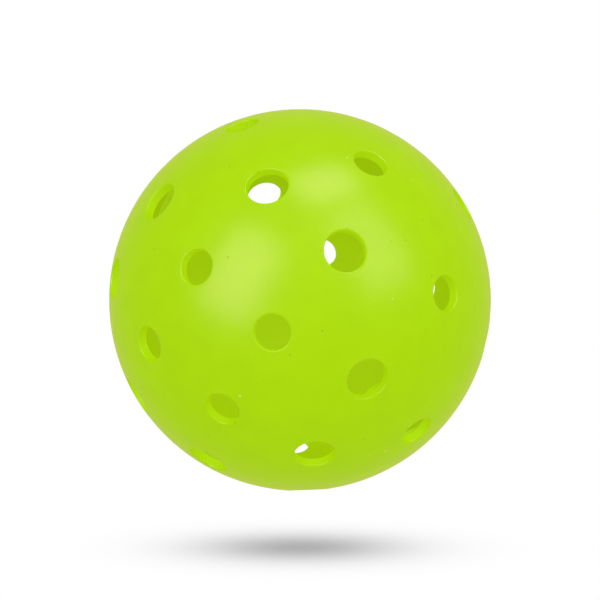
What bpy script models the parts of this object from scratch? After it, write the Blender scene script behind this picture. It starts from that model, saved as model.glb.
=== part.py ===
# Pickleball: two perforated half shells welded rim to rim. Metres, +Z up.
# The origin is the centre of the ball. The seam lies in the XZ plane, the front half faces -Y.
from math import acos, cos, pi, radians, sin, sqrt

import bmesh
import bpy
from mathutils import Matrix, Vector

# Ball
BALL_DIAMETER = 0.0740
WALL = 0.0018

# Holes in each half: small ones near the pole and near the seam, large ones in pairs between them
SMALL_HOLE_DIAMETER = 0.0064
LARGE_HOLE_DIAMETER = 0.0075
POLE_RING_ANGLE = 20.5  # degrees from the pole to the centres of the small holes round it
PAIR_RING_ANGLE = 47.5  # degrees from the pole to the centres of the paired large holes
PAIR_SPREAD = 40.0  # degrees round the pole between the two holes of a pair
SEAM_RING_ANGLE = 74.0  # degrees from the pole to the centres of the small holes by the seam
PATTERN_TURN = 11.25  # degrees that the pattern is turned about the pole
POLE_RING_COUNT = 4
PAIR_COUNT = 4
SEAM_RING_COUNT = 8

# Weld between the halves, with a double roll of squeezed-out plastic on the inside
WELD_THICKNESS = 0.0006
BEAD_ROLL_DIAMETER = 0.0013
BEAD_WIDTH = 0.0020
BEAD_CLEARANCE = 0.0003  # between a roll and the inside of the shell

# Mesh fineness
SEGMENTS = 60
ARC_STEPS = 15
ROLL_STEPS = 6
HOLE_SEGMENTS = 28
SHARP_ANGLE = radians(30)

# Plastic
LIME_GREEN = (0.42, 0.74, 0.008, 1.0)
WELD_GREEN = (0.45, 0.76, 0.020, 1.0)
PLASTIC_ROUGHNESS = 0.42

OUTER_RADIUS = BALL_DIAMETER / 2
INNER_RADIUS = OUTER_RADIUS - WALL
HALF_WELD = WELD_THICKNESS / 2
CUTTER_LENGTH = 3 * WALL  # reaches one wall past each side
MERGE_DISTANCE = WALL / 1000


def clear_scene():
    for item in list(bpy.data.objects):
        bpy.data.objects.remove(item, do_unlink=True)


def plastic(name, colour):
    material = bpy.data.materials.new(name)
    material.use_nodes = True
    shader = material.node_tree.nodes["Principled BSDF"]
    shader.inputs["Base Color"].default_value = colour
    shader.inputs["Roughness"].default_value = PLASTIC_ROUGHNESS
    shader.inputs["Metallic"].default_value = 0.0
    return material


def add_object(name, mesh, material=None):
    item = bpy.data.objects.new(name, mesh)
    bpy.context.collection.objects.link(item)
    if material:
        mesh.materials.append(material)
    return item


def mesh_from(name, bm):
    bmesh.ops.recalc_face_normals(bm, faces=bm.faces)
    mesh = bpy.data.meshes.new(name)
    bm.to_mesh(mesh)
    bm.free()
    return mesh


def shade(mesh):
    mesh.shade_smooth()
    mesh.set_sharp_from_angle(angle=SHARP_ANGLE)


def lathe(name, outline):
    """Turn a closed outline of (radius, height) points about Z."""
    bm = bmesh.new()
    corners = [bm.verts.new((radius, 0, height)) for radius, height in outline]
    edges = [bm.edges.new((a, b)) for a, b in zip(corners, corners[1:] + corners[:1])]
    bmesh.ops.spin(
        bm,
        geom=corners + edges,
        cent=(0, 0, 0),
        axis=(0, 0, 1),
        angle=2 * pi,
        steps=SEGMENTS,
        use_merge=True,
    )
    bmesh.ops.remove_doubles(bm, verts=bm.verts, dist=MERGE_DISTANCE)
    bmesh.ops.dissolve_degenerate(bm, edges=bm.edges, dist=MERGE_DISTANCE)
    return mesh_from(name, bm)


def arc_to_pole(radius):
    """Points on a quarter circle, from the weld face up to the pole."""
    seam_angle = acos(HALF_WELD / radius)
    angles = [seam_angle * (1 - step / ARC_STEPS) for step in range(ARC_STEPS + 1)]
    return [(radius * sin(angle), radius * cos(angle)) for angle in angles]


def shell_outline():
    return arc_to_pole(OUTER_RADIUS) + arc_to_pole(INNER_RADIUS)[::-1]


def hole_places():
    """Angle from the pole, angle round the pole and diameter of each hole of a half shell."""
    places = []
    for index in range(POLE_RING_COUNT):
        places.append((POLE_RING_ANGLE, 360 * index / POLE_RING_COUNT, SMALL_HOLE_DIAMETER))
    for index in range(PAIR_COUNT):
        middle = 360 * (index + 0.5) / PAIR_COUNT
        for side in (-0.5, 0.5):
            places.append((PAIR_RING_ANGLE, middle + side * PAIR_SPREAD, LARGE_HOLE_DIAMETER))
    for index in range(SEAM_RING_COUNT):
        places.append((SEAM_RING_ANGLE, 360 * index / SEAM_RING_COUNT, SMALL_HOLE_DIAMETER))
    return places


def hole_cutter(name):
    """One radial cylinder for each hole, through the wall."""
    bm = bmesh.new()
    for from_pole, round_pole, diameter in hole_places():
        turn = Matrix.Rotation(radians(round_pole + PATTERN_TURN), 4, "Z")
        tilt = Matrix.Rotation(radians(from_pole), 4, "Y")
        lift = Matrix.Translation(Vector((0, 0, OUTER_RADIUS - WALL / 2)))
        bmesh.ops.create_cone(
            bm,
            cap_ends=True,
            segments=HOLE_SEGMENTS,
            radius1=diameter / 2,
            radius2=diameter / 2,
            depth=CUTTER_LENGTH,
            matrix=turn @ tilt @ lift,
        )
    cutter = add_object(name, mesh_from(name, bm))
    cutter.display_type = "WIRE"
    cutter.hide_render = True
    return cutter


def cut(item, cutter):
    """Cut with a Boolean modifier and keep the result as the object's own mesh."""
    modifier = item.modifiers.new("holes", "BOOLEAN")
    modifier.operation = "DIFFERENCE"
    modifier.solver = "EXACT"
    modifier.object = cutter
    depsgraph = bpy.context.evaluated_depsgraph_get()
    result = bpy.data.meshes.new_from_object(item.evaluated_get(depsgraph))
    item.modifiers.remove(modifier)
    item.data = result
    bpy.data.objects.remove(cutter, do_unlink=True)


def half_shell(name, tip):
    """A half shell with its pole tipped from +Z by an angle about X."""
    shell = add_object(name, lathe(name, shell_outline()), plastic(name + "_plastic", LIME_GREEN))
    cut(shell, hole_cutter(name + "_holes"))
    shade(shell.data)
    shell.rotation_euler = (tip, 0, 0)
    return shell


def roll_arc():
    """One roll of the bead, from the side of the web round to the middle of the bead."""
    radius = BEAD_ROLL_DIAMETER / 2
    centre = INNER_RADIUS - BEAD_CLEARANCE - radius
    offset = BEAD_WIDTH / 2 - radius
    start = acos((HALF_WELD - offset) / radius)
    end = -acos(-offset / radius)
    points = []
    for step in range(ROLL_STEPS + 1):
        angle = start + (end - start) * step / ROLL_STEPS
        points.append((centre + radius * sin(angle), offset + radius * cos(angle)))
    return points


def weld_outline():
    upper = [(sqrt(OUTER_RADIUS**2 - HALF_WELD**2), HALF_WELD)] + roll_arc()
    lower = [(radius, -height) for radius, height in upper[:-1]]
    return [(OUTER_RADIUS, 0)] + upper + lower[::-1]


def weld_bead(name):
    bead = add_object(name, lathe(name, weld_outline()), plastic(name + "_plastic", WELD_GREEN))
    shade(bead.data)
    bead.rotation_euler = (pi / 2, 0, 0)
    return bead


clear_scene()
half_shell("front_half_shell", pi / 2)
half_shell("rear_half_shell", -pi / 2)
weld_bead("weld_bead")
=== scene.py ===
import math

import bpy
from mathutils import Matrix, Vector
from mathutils.geometry import delaunay_2d_cdt


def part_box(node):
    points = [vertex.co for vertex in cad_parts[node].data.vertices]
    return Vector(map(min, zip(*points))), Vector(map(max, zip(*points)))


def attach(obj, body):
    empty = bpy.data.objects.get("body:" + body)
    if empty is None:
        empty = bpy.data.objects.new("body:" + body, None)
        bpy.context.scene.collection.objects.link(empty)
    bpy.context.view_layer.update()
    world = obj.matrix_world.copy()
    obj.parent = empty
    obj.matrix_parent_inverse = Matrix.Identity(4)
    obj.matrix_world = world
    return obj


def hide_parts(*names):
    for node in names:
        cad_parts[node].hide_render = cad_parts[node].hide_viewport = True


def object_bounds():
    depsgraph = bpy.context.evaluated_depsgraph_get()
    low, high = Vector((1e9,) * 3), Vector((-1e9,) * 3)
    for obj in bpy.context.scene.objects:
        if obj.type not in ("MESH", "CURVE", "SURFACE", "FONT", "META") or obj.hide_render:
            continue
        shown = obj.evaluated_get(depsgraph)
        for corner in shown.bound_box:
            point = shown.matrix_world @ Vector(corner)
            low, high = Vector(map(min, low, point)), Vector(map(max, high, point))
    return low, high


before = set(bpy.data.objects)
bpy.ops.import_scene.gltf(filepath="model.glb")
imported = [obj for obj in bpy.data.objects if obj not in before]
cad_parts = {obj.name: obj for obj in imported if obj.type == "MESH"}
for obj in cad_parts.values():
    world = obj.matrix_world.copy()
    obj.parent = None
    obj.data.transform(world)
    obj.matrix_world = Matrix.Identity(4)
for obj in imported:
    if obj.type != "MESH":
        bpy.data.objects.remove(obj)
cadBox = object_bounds()
ballRadius = (cadBox[1].z - cadBox[0].z) / 2
halfWeld = -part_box("front_half_shell")[1].y  # the front half stops this far before the seam plane
poleAxis = Vector((0, 0, 1))  # each piece is made with its pole up, then tipped into place
samePlace = 1e-7  # points closer than this count as one
print("frame loaded, ball radius", round(ballRadius, 5))


# mesh helpers: a piece is gathered as points, their normals, faces and the finish of each face

def newGather():
    return {"points": [], "normals": [], "faces": [], "finishes": []}


def addPoint(gather, point, normal):
    gather["points"].append(point)
    gather["normals"].append(normal)
    return len(gather["points"]) - 1


def addRing(gather, turn, reaches, height, normal):
    # one point for each reach, evenly round the turned axis
    ring = []
    for i, reach in enumerate(reaches):
        angle = 2 * math.pi * i / len(reaches)
        side = Vector((math.cos(angle), math.sin(angle), 0))
        point = turn @ (side * reach + poleAxis * height)
        ring.append(addPoint(gather, point, turn @ (side * normal.x + poleAxis * normal.y)))
    return ring


def addRings(gather, turn, profile, count):
    # a plain ring for each point of a profile
    return [addRing(gather, turn, [point.x] * count, point.y, normal) for point, normal in profile]


def addFace(gather, face, finish):
    gather["faces"].append(face)
    gather["finishes"].append(finish)


def addBand(gather, ringA, ringB, finish):
    count = len(ringA)
    for i in range(count):
        j = (i + 1) % count
        addFace(gather, (ringA[i], ringA[j], ringB[j], ringB[i]), finish)


def facingOut(gather, face):
    a, b, c = (gather["points"][i] for i in face[:3])
    lean = sum((gather["normals"][i] for i in face), Vector())
    return (b - a).cross(c - a).dot(lean) > 0


def makePiece(name, gather, tip, materials):
    turn = Matrix.Rotation(tip, 3, "X")
    faces = [f if facingOut(gather, f) else f[::-1] for f in gather["faces"]]
    mesh = bpy.data.meshes.new(name)
    mesh.from_pydata([turn @ p for p in gather["points"]], [], faces)
    mesh.shade_smooth()
    mesh.normals_split_custom_set_from_vertices([(turn @ n).normalized() for n in gather["normals"]])
    for material in materials:
        mesh.materials.append(material)
    mesh.polygons.foreach_set("material_index", gather["finishes"])
    piece = bpy.data.objects.new(name, mesh)
    bpy.context.scene.collection.objects.link(piece)
    return piece


def arcPoints(centre, radius, start, end, steps):
    # points and normals along an arc in the (reach, height) plane, angle 0 along the height
    angles = [start + (end - start) * i / steps for i in range(steps + 1)]
    normals = [Vector((math.sin(a), math.cos(a))) for a in angles]
    return [(centre + n * radius, n) for n in normals]


# shader helpers

def addNode(tree, kind, values=None, **settings):
    # values go to the inputs by name or number: a socket is linked, anything else is set
    node = tree.nodes.new(kind)
    for key, value in settings.items():
        setattr(node, key, value)
    for key, value in (values or {}).items():
        if isinstance(value, bpy.types.NodeSocket):
            tree.links.new(value, node.inputs[key])
        else:
            node.inputs[key].default_value = value
    return node


def calculate(tree, operation, a, b=0.0):
    return addNode(tree, "ShaderNodeMath", {0: a, 1: b}, operation=operation).outputs[0]


def calculateVector(tree, operation, a, b):
    return addNode(tree, "ShaderNodeVectorMath", {0: a, 1: b}, operation=operation).outputs


def mixColours(tree, factor, a, b):
    # inputs 6 and 7 and output 2 are the Mix node's colours
    return addNode(tree, "ShaderNodeMix", {0: factor, 6: a, 7: b}, data_type="RGBA").outputs[2]


def makeRamp(tree, factor, stops):
    node = addNode(tree, "ShaderNodeValToRGB", {0: factor})
    elements = node.color_ramp.elements
    while len(elements) < len(stops):
        elements.new(1.0)
    for element, (position, colour) in zip(elements, stops):
        element.position = position
        element.color = colour
    return node.outputs["Color"]


def newGroup(name, inputs, outputs):
    # a node group with named sockets: returns the group, its inner inputs and its output node
    kinds = {"value": "NodeSocketFloat", "vector": "NodeSocketVector", "colour": "NodeSocketColor"}
    group = bpy.data.node_groups.new(name, "ShaderNodeTree")
    for label, kind in inputs.items():
        group.interface.new_socket(label, in_out="INPUT", socket_type=kinds[kind])
    for label, kind in outputs.items():
        group.interface.new_socket(label, in_out="OUTPUT", socket_type=kinds[kind])
    given = group.nodes.new("NodeGroupInput").outputs
    return group, given, group.nodes.new("NodeGroupOutput")


def useGroup(tree, group, values):
    return addNode(tree, "ShaderNodeGroup", values, node_tree=group).outputs


# half shells

shell = {
    "wall": 0.0018,  # lengths in metres, angles in degrees
    "smallHole": 0.0064,  # diameters
    "largeHole": 0.0075,
    "poleRingAngle": 20.5,  # from the pole to the small holes round it
    "poleRingCount": 4,
    "pairRingAngle": 47.5,  # to the large holes, which stand in pairs
    "pairCount": 4,
    "pairSpread": 40.0,  # round the pole, between the two holes of a pair
    "seamRingAngle": 74.0,  # to the small holes by the seam
    "seamRingCount": 8,
    "patternTurn": 11.25,  # of all the holes round the pole
    "rimRound": 0.00030,  # rounding of the outside edge of a hole
    "rimSteps": 6,
    "rimSkin": 3,  # steps of that rounding that have the skin's finish
    "insideRound": 0.00007,  # rounding of its inside edge
    "insideSteps": 4,
    "seamRound": 0.00006,  # rounding of the edges that meet the weld
    "seamSteps": 3,
    "holeSegments": 64,
    "seamSegments": 256,
    "pointSpacing": 0.0020,  # of the mesh on the plain skin
    "edgeRings": ((0.25, 48), (0.7, 32)),  # round each hole: distance in spacings, number of points
    "edgeClear": 1.3,  # spacings round a hole that the even spread leaves free
    "seamClear": 0.6,  # the same along the seam
}
insideRadius = ballRadius - shell["wall"]
outside, inside = 0, 1  # finishes of a half shell: its skin, and its bores and inner face


def holeList():
    # the turn from the pole to each hole, with the hole's radius
    places = []
    for i in range(shell["poleRingCount"]):
        places.append((shell["poleRingAngle"], 360 * i / shell["poleRingCount"], shell["smallHole"]))
    for i in range(shell["pairCount"]):
        middle = 360 * (i + 0.5) / shell["pairCount"]
        for side in (-0.5, 0.5):
            aroundPole = middle + side * shell["pairSpread"]
            places.append((shell["pairRingAngle"], aroundPole, shell["largeHole"]))
    for i in range(shell["seamRingCount"]):
        places.append((shell["seamRingAngle"], 360 * i / shell["seamRingCount"], shell["smallHole"]))
    holes = []
    for fromPole, aroundPole, diameter in places:
        around = Matrix.Rotation(math.radians(aroundPole + shell["patternTurn"]), 3, "Z")
        holes.append((around @ Matrix.Rotation(math.radians(fromPole), 3, "Y"), diameter / 2))
    return holes


def holeProfile(radius):
    # (reach, height) along the hole's axis: outside edge, bore, inside edge
    rim, lip = shell["rimRound"], shell["insideRound"]
    bore = -math.pi / 2  # the bore's wall faces the hole's axis
    outLevel = math.sqrt((ballRadius - rim) ** 2 - (radius + rim) ** 2)
    inLevel = math.sqrt((insideRadius + lip) ** 2 - (radius + lip) ** 2)
    outLean = math.atan2(radius + rim, outLevel)
    inLean = math.atan2(radius + lip, inLevel)
    outCentre = Vector((radius + rim, outLevel))
    inCentre = Vector((radius + lip, inLevel))
    outEdge = arcPoints(outCentre, rim, outLean, bore, shell["rimSteps"])
    inEdge = arcPoints(inCentre, lip, bore, inLean - math.pi, shell["insideSteps"])
    return outEdge + inEdge


def seamProfile():
    # (reach, height) along the pole axis: outside edge, weld face, inside edge
    edge, steps = shell["seamRound"], shell["seamSteps"]
    level = halfWeld + edge
    outReach = math.sqrt((ballRadius - edge) ** 2 - level ** 2)
    inReach = math.sqrt((insideRadius + edge) ** 2 - level ** 2)
    outLean = math.atan2(outReach, level)
    inLean = math.pi + math.atan2(inReach, level)
    outEdge = arcPoints(Vector((outReach, level)), edge, outLean, math.pi, steps)
    inEdge = arcPoints(Vector((inReach, level)), edge, math.pi, inLean, steps)
    return outEdge + inEdge


def onSphere(lean, around):
    reach = math.sin(lean)
    return Vector((reach * math.cos(around), reach * math.sin(around), math.cos(lean)))


def evenSpread(gap):
    # golden-angle spiral over the half sphere, neighbours about one gap (radians) apart
    cell = gap * gap * math.sqrt(3) / 2
    count = int(4 * math.pi / cell)
    turn = math.pi * (3 - math.sqrt(5))
    leans = [math.acos(1 - (2 * i + 1) / count) for i in range(count // 2)]
    return [poleAxis] + [onSphere(lean, turn * i) for i, lean in enumerate(leans)]


def fillPoints(radius, holes):
    # rings of points close round each hole, and an even spread over the rest
    gap = shell["pointSpacing"] / radius
    points, clear = [], []
    for turn, holeRadius in holes:
        edge = math.asin((holeRadius + shell["rimRound"]) / radius)
        clear.append((turn @ poleAxis, math.cos(edge + shell["edgeClear"] * gap)))
        for step, count in shell["edgeRings"]:
            ring = [onSphere(edge + step * gap, 2 * math.pi * i / count) for i in range(count)]
            points += [turn @ direction for direction in ring]
    lowest = halfWeld / radius + shell["seamClear"] * gap
    for direction in evenSpread(gap):
        if direction.z > lowest and all(direction.dot(axis) < limit for axis, limit in clear):
            points.append(direction)
    return points


def flatten(direction):
    return Vector((direction.x, direction.y)) / (1 + direction.z)


def addSheet(gather, radius, holes, holeRings, seamRing, side, finish):
    # the sphere's skin between the hole edges and the seam, meshed in stereographic projection
    extra = [addPoint(gather, d * radius, d * side) for d in fillPoints(radius, holes)]
    rings = holeRings + [seamRing]
    used = [i for ring in rings for i in ring] + extra
    edges = []
    start = 0
    for ring in rings:
        edges += [(start + i, start + (i + 1) % len(ring)) for i in range(len(ring))]
        start += len(ring)
    flat = [flatten(gather["points"][i].normalized()) for i in used]
    faces, origins = delaunay_2d_cdt(flat, edges, [], 0, samePlace, True)[2:4]
    source = [used[ids[0]] for ids in origins]
    openings = []
    for (turn, holeRadius), ring in zip(holes, holeRings):
        axis = turn @ poleAxis
        openings.append((axis, gather["points"][ring[0]].normalized().dot(axis)))
    for face in faces:
        corners = [source[i] for i in face]
        middle = sum((gather["points"][i] for i in corners), Vector()).normalized()
        if all(middle.dot(axis) < limit for axis, limit in openings):
            addFace(gather, tuple(corners), finish)


def makeHalfShell():
    gather = newGather()
    holes = holeList()
    outRings, inRings = [], []
    for turn, radius in holes:
        rings = addRings(gather, turn, holeProfile(radius), shell["holeSegments"])
        for i, (a, b) in enumerate(zip(rings, rings[1:])):
            addBand(gather, a, b, outside if i < shell["rimSkin"] else inside)
        outRings.append(rings[0])
        inRings.append(rings[-1])
    seam = addRings(gather, Matrix.Identity(3), seamProfile(), shell["seamSegments"])
    for a, b in zip(seam, seam[1:]):
        addBand(gather, a, b, outside)
    addSheet(gather, ballRadius, holes, outRings, seam[0], 1, outside)
    addSheet(gather, insideRadius, holes, inRings, seam[-1], -1, inside)
    return gather


# weld: flush web between the rims, with a double roll of squeezed-out plastic inside

weld = {
    "rollDiameter": 0.0013,
    "beadWidth": 0.0020,  # across both rolls
    "clearance": 0.0003,  # between the rolls and the inner face
    "rollSteps": 12,
    "unevenness": 0.00008,  # how far the rolls wander in and out
    "waves": (7, 12, 23),  # waves round the seam
}


def weldProfile():
    # points (reach, height) and normals round the section of the weld
    rollRadius = weld["rollDiameter"] / 2
    centre = insideRadius - weld["clearance"] - rollRadius
    offset = weld["beadWidth"] / 2 - rollRadius
    start = math.acos((halfWeld - offset) / rollRadius)
    end = -math.acos(-offset / rollRadius)
    roll = arcPoints(Vector((centre, offset)), rollRadius, start, end, weld["rollSteps"])
    edge = Vector((math.sqrt(ballRadius ** 2 - halfWeld ** 2), halfWeld))
    flat = Vector((0, 1))  # normal of the web's flat side
    upper = [(edge, edge.normalized()), (edge, flat), (roll[0][0], flat)] + roll
    lower = [(Vector((p.x, -p.y)), Vector((n.x, -n.y))) for p, n in reversed(upper)]
    return [(Vector((ballRadius, 0)), Vector((1, 0)))] + upper + lower


def wander(angle):
    return sum(math.sin(count * angle + count) for count in weld["waves"]) / len(weld["waves"])


def makeWeld():
    gather = newGather()
    count = shell["seamSegments"]
    sway = [weld["unevenness"] * wander(2 * math.pi * i / count) for i in range(count)]
    rings = []
    for point, normal in weldProfile():
        share = max(0, -normal.x)  # only the inward side of the rolls wanders
        reaches = [point.x + share * s for s in sway]
        rings.append(addRing(gather, Matrix.Identity(3), reaches, point.y, normal))
    for a, b in zip(rings, rings[1:] + rings[:1]):
        if (gather["points"][a[0]] - gather["points"][b[0]]).length > samePlace:
            addBand(gather, a, b, outside)
    return gather


# plastic effects that the shells and the weld share

effect = {
    "mottleDetail": 3.0,  # octaves of noise
    "grainDetail": 2.0,
    "speckCore": 0.5,  # share of a speck's radius at full strength
}


def addNoise(group, given, detail):
    scale = calculate(group, "DIVIDE", 1.0, given["Size"])
    values = {"Vector": given["Position"], "Scale": scale, "Detail": detail}
    return addNode(group, "ShaderNodeTexNoise", values).outputs[0]


def swingAbout(tree, noise, swing, middle):
    # noise of 0 to 1 as a swing about a middle value
    centred = calculate(tree, "SUBTRACT", noise, 0.5)
    return calculate(tree, "ADD", calculate(tree, "MULTIPLY", centred, swing), middle)


def makeMottle():
    # faint clouds in the colour of the moulded plastic
    inputs = {"Position": "vector", "Colour": "colour", "Size": "value", "Swing": "value"}
    group, given, result = newGroup("mottle", inputs, {"Colour": "colour"})
    level = swingAbout(group, addNoise(group, given, effect["mottleDetail"]), given["Swing"], 1.0)
    values = {0: given["Colour"], "Scale": level}
    tinted = addNode(group, "ShaderNodeVectorMath", values, operation="SCALE")
    group.links.new(tinted.outputs[0], result.inputs["Colour"])
    return group


def makeWallDepth():
    # 0 on the outside of the ball, rising through the holes to 1 on its inside
    inputs = {"Position": "vector", "Outside": "value", "Wall": "value"}
    group, given, result = newGroup("wallDepth", inputs, {"Depth": "value"})
    reach = addNode(group, "ShaderNodeVectorMath", {0: given["Position"]}, operation="LENGTH")
    below = calculate(group, "SUBTRACT", given["Outside"], reach.outputs["Value"])
    group.links.new(calculate(group, "DIVIDE", below, given["Wall"]), result.inputs["Depth"])
    return group


def makeGrain():
    # the satin grain of the mould, 0 to 1
    inputs = {"Position": "vector", "Size": "value"}
    group, given, result = newGroup("grain", inputs, {"Height": "value"})
    group.links.new(addNoise(group, given, effect["grainDetail"]), result.inputs["Height"])
    return group


def makeSpecks():
    # sparse small spots, 1 in the middle of a spot
    inputs = {"Position": "vector", "Spacing": "value", "Size": "value", "Share": "value"}
    group, given, result = newGroup("specks", inputs, {"Mask": "value"})
    scale = calculate(group, "DIVIDE", 1.0, given["Spacing"])
    values = {"Vector": given["Position"], "Scale": scale}
    cells = addNode(group, "ShaderNodeTexVoronoi", values).outputs
    metres = calculate(group, "MULTIPLY", cells["Distance"], given["Spacing"])
    reach = calculate(group, "DIVIDE", metres, given["Size"])
    fade = {0: reach, 1: effect["speckCore"], 2: 1.0, 3: 1.0, 4: 0.0}  # 1 in the core, 0 at the edge
    near = addNode(group, "ShaderNodeMapRange", fade).outputs[0]
    draw = addNode(group, "ShaderNodeSeparateColor", {0: cells["Color"]}).outputs[0]
    chosen = calculate(group, "LESS_THAN", draw, given["Share"])
    group.links.new(calculate(group, "MULTIPLY", near, chosen), result.inputs["Mask"])
    return group


mottleGroup = makeMottle()
wallDepthGroup = makeWallDepth()
grainGroup = makeGrain()
specksGroup = makeSpecks()
print("plastic effects made")

shellPlastic = {
    # depth through the wall as a share of it, and colour: the skin's own lime, a bore painted lighter as
    # painted light coming through the thin plastic, and an inside painted darker as painted shade of the
    # hollow ball
    "colourAndPaintedShade": (
        (0.00, (0.415, 0.720, 0.001, 1)),
        (0.20, (0.425, 0.745, 0.001, 1)),
        (0.92, (0.425, 0.745, 0.001, 1)),
        (1.00, (0.356, 0.606, 0.0005, 1)),
    ),
    "mottleSize": 0.005,
    "mottleSwing": 0.09,
    "roughness": 0.30,
    "roughnessSwing": 0.08,
    "gloss": 0.05,  # specular level, low because white surroundings veil a shinier plastic
    "sheen": 0.6,  # olive edge of the translucent wall
    "sheenRoughness": 0.35,
    "sheenTint": (0.76, 0.48, 0.31, 1),
    "grainSize": 0.0005,
    "grainHeight": 0.0000015,
    "speckColour": (0.325, 0.575, 0.001, 1),  # dark pits
    "speckSpacing": 0.0029,
    "speckSize": 0.0002,
    "speckShare": 0.50,
    "speckDepth": 0.00006,
    "glintFleckColour": (0.64, 0.91, 0.20, 1),  # pale flecks, painted glints
    "glintFleckSpacing": 0.0048,
    "glintFleckSize": 0.00026,
    "glintFleckShare": 0.4,
}
borePlastic = dict(shellPlastic, sheen=0.0)
weldPlastic = dict(shellPlastic, mottleSize=0.004, mottleSwing=0.10, roughness=0.26)


def evenGloss(tree, level):
    # a specular level that falls toward the ball's edge as much as Fresnel rises there
    facing = addNode(tree, "ShaderNodeLayerWeight", {"Blend": 0.5}).outputs["Facing"]
    cosine = calculate(tree, "SUBTRACT", 1.0, facing)
    square = calculate(tree, "MULTIPLY", cosine, cosine)
    doubled = calculate(tree, "SUBTRACT", calculate(tree, "MULTIPLY", square, 2.0), 1.0)
    rise = calculate(tree, "ADD", calculate(tree, "MULTIPLY", doubled, doubled), 1.0)
    fall = calculate(tree, "MULTIPLY", square, square)
    return calculate(tree, "DIVIDE", fall, calculate(tree, "DIVIDE", rise, 2 * level))


def scatterSpots(tree, place, plastic, kind):
    # mask of this plastic's dark specks, or of its pale flecks that are painted glints, by the kind
    # asked for
    values = {label: plastic[kind + label] for label in ("Spacing", "Size", "Share")}
    return useGroup(tree, specksGroup, dict(values, Position=place))["Mask"]


def makePlastic(name, plastic):
    material = bpy.data.materials.new(name)
    material.use_nodes = True
    tree = material.node_tree
    place = addNode(tree, "ShaderNodeTexCoord").outputs["Object"]
    wall = {"Position": place, "Outside": ballRadius, "Wall": shell["wall"]}
    # depth through the wall sets the painted light on the bores and the painted shade on the inside
    depth = useGroup(tree, wallDepthGroup, wall)["Depth"]
    colour = makeRamp(tree, depth, plastic["colourAndPaintedShade"])
    mottle = {"Size": plastic["mottleSize"], "Swing": plastic["mottleSwing"]}
    colour = useGroup(tree, mottleGroup, dict(mottle, Position=place, Colour=colour))["Colour"]
    specks = scatterSpots(tree, place, plastic, "speck")
    glintFlecks = scatterSpots(tree, place, plastic, "glintFleck")
    colour = mixColours(tree, specks, colour, plastic["speckColour"])
    # painted glints: pale flecks mixed into the colour
    colour = mixColours(tree, glintFlecks, colour, plastic["glintFleckColour"])
    grain = useGroup(tree, grainGroup, {"Position": place, "Size": plastic["grainSize"]})["Height"]
    raised = calculate(tree, "MULTIPLY", grain, plastic["grainHeight"])
    sunk = calculate(tree, "MULTIPLY", specks, plastic["speckDepth"])
    height = calculate(tree, "SUBTRACT", raised, sunk)
    bump = addNode(tree, "ShaderNodeBump", {"Height": height, "Distance": 1.0})  # heights in metres
    shader = tree.nodes["Principled BSDF"]
    shader.inputs["Sheen Weight"].default_value = plastic["sheen"]
    shader.inputs["Sheen Roughness"].default_value = plastic["sheenRoughness"]
    shader.inputs["Sheen Tint"].default_value = plastic["sheenTint"]
    rough = swingAbout(tree, grain, plastic["roughnessSwing"], plastic["roughness"])
    tree.links.new(colour, shader.inputs["Base Color"])
    tree.links.new(rough, shader.inputs["Roughness"])
    tree.links.new(bump.outputs["Normal"], shader.inputs["Normal"])
    tree.links.new(evenGloss(tree, plastic["gloss"]), shader.inputs["Specular IOR Level"])
    return material


limeShell = makePlastic("limeShell", shellPlastic)
limeBore = makePlastic("limeBore", borePlastic)
limeWeld = makePlastic("limeWeld", weldPlastic)
front = makePiece("front_half", makeHalfShell(), math.pi / 2, (limeShell, limeBore))
rear = makePiece("rear_half", makeHalfShell(), -math.pi / 2, (limeShell, limeBore))
seamWeld = makePiece("seam_weld", makeWeld(), math.pi / 2, (limeWeld,))
for piece, node in ((front, "front_half_shell"), (rear, "rear_half_shell"), (seamWeld, "weld_bead")):
    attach(piece, "root")
    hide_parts(node)
    piece.visible_diffuse = False  # the thin plastic lets soft light through to its own inside
print("pieces made", [(p.name, len(p.data.polygons)) for p in (front, rear, seamWeld)])


# camera

view = {
    "azimuth": 27.6,
    "elevation": 12.8,
    "distance": 8.5,  # in ball radii
    "outlinePixels": 381.84,  # diameter of the ball in the photograph
    "imagePixels": 600,
    "clipNear": 0.01,
    "clipFar": 20,
}


def cameraTurn():
    turn = Matrix.Rotation(math.radians(view["azimuth"]), 3, "Z")
    return turn @ Matrix.Rotation(math.radians(90 - view["elevation"]), 3, "X")


def makeCamera():
    turn = cameraTurn()
    data = bpy.data.cameras.new("camera")
    reach = math.sqrt(view["distance"] ** 2 - 1)
    data.lens = data.sensor_width * view["outlinePixels"] / 2 * reach / view["imagePixels"]
    data.clip_start = view["clipNear"]
    data.clip_end = view["clipFar"]
    camera = bpy.data.objects.new("camera", data)
    bpy.context.scene.collection.objects.link(camera)
    camera.matrix_world = Matrix.Translation(turn.col[2] * view["distance"] * ballRadius) @ turn.to_4x4()
    bpy.context.scene.camera = camera


makeCamera()
print("camera placed")


# studio: a pale floor under the hovering ball, an even white dome and soft lamps

floor = {
    "drop": 0.0143,  # from the ball's lowest point
    "side": 6.0,
    "colour": (0.88, 0.88, 0.88, 1),
    "shadowWidth": 0.0169,  # spread of the soft patch that shows the ball's shadow
    "shadowDepth": 0.0057,
    "shadowPower": 1.12,  # deepens the shadow
    "shadowReach": 1.0,  # how far off a thing can shade the floor
}
white = (1, 1, 1, 1)


def seenDirectly(tree):
    # 1 where a ray shows the backdrop, to the camera or in a reflection
    path = addNode(tree, "ShaderNodeLightPath").outputs
    seen = calculate(tree, "ADD", path["Is Camera Ray"], path["Is Glossy Ray"])
    return calculate(tree, "ADD", seen, path["Is Transmission Ray"])


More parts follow.
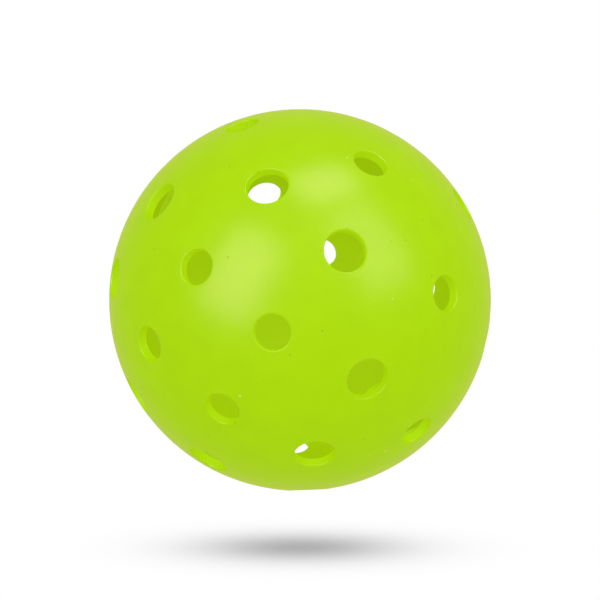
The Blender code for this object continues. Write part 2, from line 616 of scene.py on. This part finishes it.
def makeFloorMaterial():
    material = bpy.data.materials.new("paleFloor")
    material.use_nodes = True
    tree = material.node_tree
    tree.nodes.clear()
    place = addNode(tree, "ShaderNodeTexCoord").outputs["Object"]
    spread = (1 / floor["shadowWidth"], 1 / floor["shadowDepth"], 0)
    scaled = calculateVector(tree, "MULTIPLY", place, spread)[0]
    away = calculateVector(tree, "DOT_PRODUCT", scaled, scaled)["Value"]
    patch = calculate(tree, "EXPONENT", calculate(tree, "MULTIPLY", away, -0.5))  # bell curve
    near = addNode(tree, "ShaderNodeAmbientOcclusion", {"Distance": floor["shadowReach"]})
    shade = calculate(tree, "POWER", near.outputs["AO"], floor["shadowPower"])
    tone = mixColours(tree, patch, white, shade)
    pale = addNode(tree, "ShaderNodeBsdfDiffuse", {"Color": floor["colour"]}).outputs[0]
    backdrop = addNode(tree, "ShaderNodeEmission", {"Color": tone, "Strength": 1.0}).outputs[0]
    upper = {0: seenDirectly(tree), 1: pale, 2: backdrop}
    both = {
        0: addNode(tree, "ShaderNodeNewGeometry").outputs["Backfacing"],
        1: addNode(tree, "ShaderNodeMixShader", upper).outputs[0],
        2: addNode(tree, "ShaderNodeBsdfTransparent").outputs[0],  # clear from below
    }
    surface = addNode(tree, "ShaderNodeMixShader", both).outputs[0]
    addNode(tree, "ShaderNodeOutputMaterial", {"Surface": surface})
    return material


def makeFloor():
    half = floor["side"] / 2
    corners = [(-half, -half, 0), (half, -half, 0), (half, half, 0), (-half, half, 0)]
    mesh = bpy.data.meshes.new("floor")
    mesh.from_pydata(corners, [], [(0, 1, 2, 3)])
    mesh.materials.append(makeFloorMaterial())
    piece = bpy.data.objects.new("floor", mesh)
    piece.location.z = -ballRadius - floor["drop"]
    piece.rotation_euler.z = math.radians(view["azimuth"])
    bpy.context.scene.collection.objects.link(piece)


studio = {
    "domeLevel": 0.912,
    "domeTilt": (0.045, 0.0, 0.32),  # more light from the camera's right and from the front
    "distance": 0.60,  # of the softboxes from the ball's middle
    "warmth": (1.0, 0.64, 0.60),  # colour of the softboxes
    # softboxes as the camera sees them: degrees to the right and up, spin, width and height in metres,
    # brightness beside the dome's
    "left": (-35, 14, -25, 0.35, 0.52, 40.5),
    "right": (46, 28, 23, 0.35, 0.49, 27.5),
    "top": (34, 69, 5, 0.30, 0.20, 57.0),
}


def makeDome():
    # plain white where it is seen, a slow gradient where it lights the ball
    world = bpy.data.worlds.new("dome")
    bpy.context.scene.world = world
    world.use_nodes = True
    tree = world.node_tree
    way = addNode(tree, "ShaderNodeTexCoord").outputs["Generated"]
    tilt = cameraTurn() @ Vector(studio["domeTilt"])
    slope = calculateVector(tree, "DOT_PRODUCT", way, tilt)["Value"]
    light = calculate(tree, "ADD", slope, studio["domeLevel"])
    tone = mixColours(tree, seenDirectly(tree), light, white)
    tree.links.new(tone, tree.nodes["Background"].inputs["Color"])


def makeSoftbox(name):
    across, up, spin, width, height, brightness = studio[name]
    data = bpy.data.lights.new(name, "AREA")
    data.shape = "RECTANGLE"
    data.size = width
    data.size_y = height
    data.color = studio["warmth"]
    data.energy = brightness * math.pi * width * height
    data.cycles.use_multiple_importance_sampling = False  # reflections keep the backdrop behind it
    lamp = bpy.data.objects.new(name, data)
    turn = cameraTurn() @ Matrix.Rotation(math.radians(across), 3, "Y")
    turn = turn @ Matrix.Rotation(math.radians(-up), 3, "X")
    turn = turn @ Matrix.Rotation(math.radians(spin), 3, "Z")
    lamp.matrix_world = Matrix.Translation(turn.col[2] * studio["distance"]) @ turn.to_4x4()
    lamp.visible_diffuse = False  # it only puts a highlight on the plastic: the dome lights it
    lamp.visible_camera = False
    bpy.context.scene.collection.objects.link(lamp)


makeFloor()
makeDome()
for name in ("left", "right", "top"):
    makeSoftbox(name)
bpy.context.scene.view_settings.view_transform = "Standard"
print("studio lit")
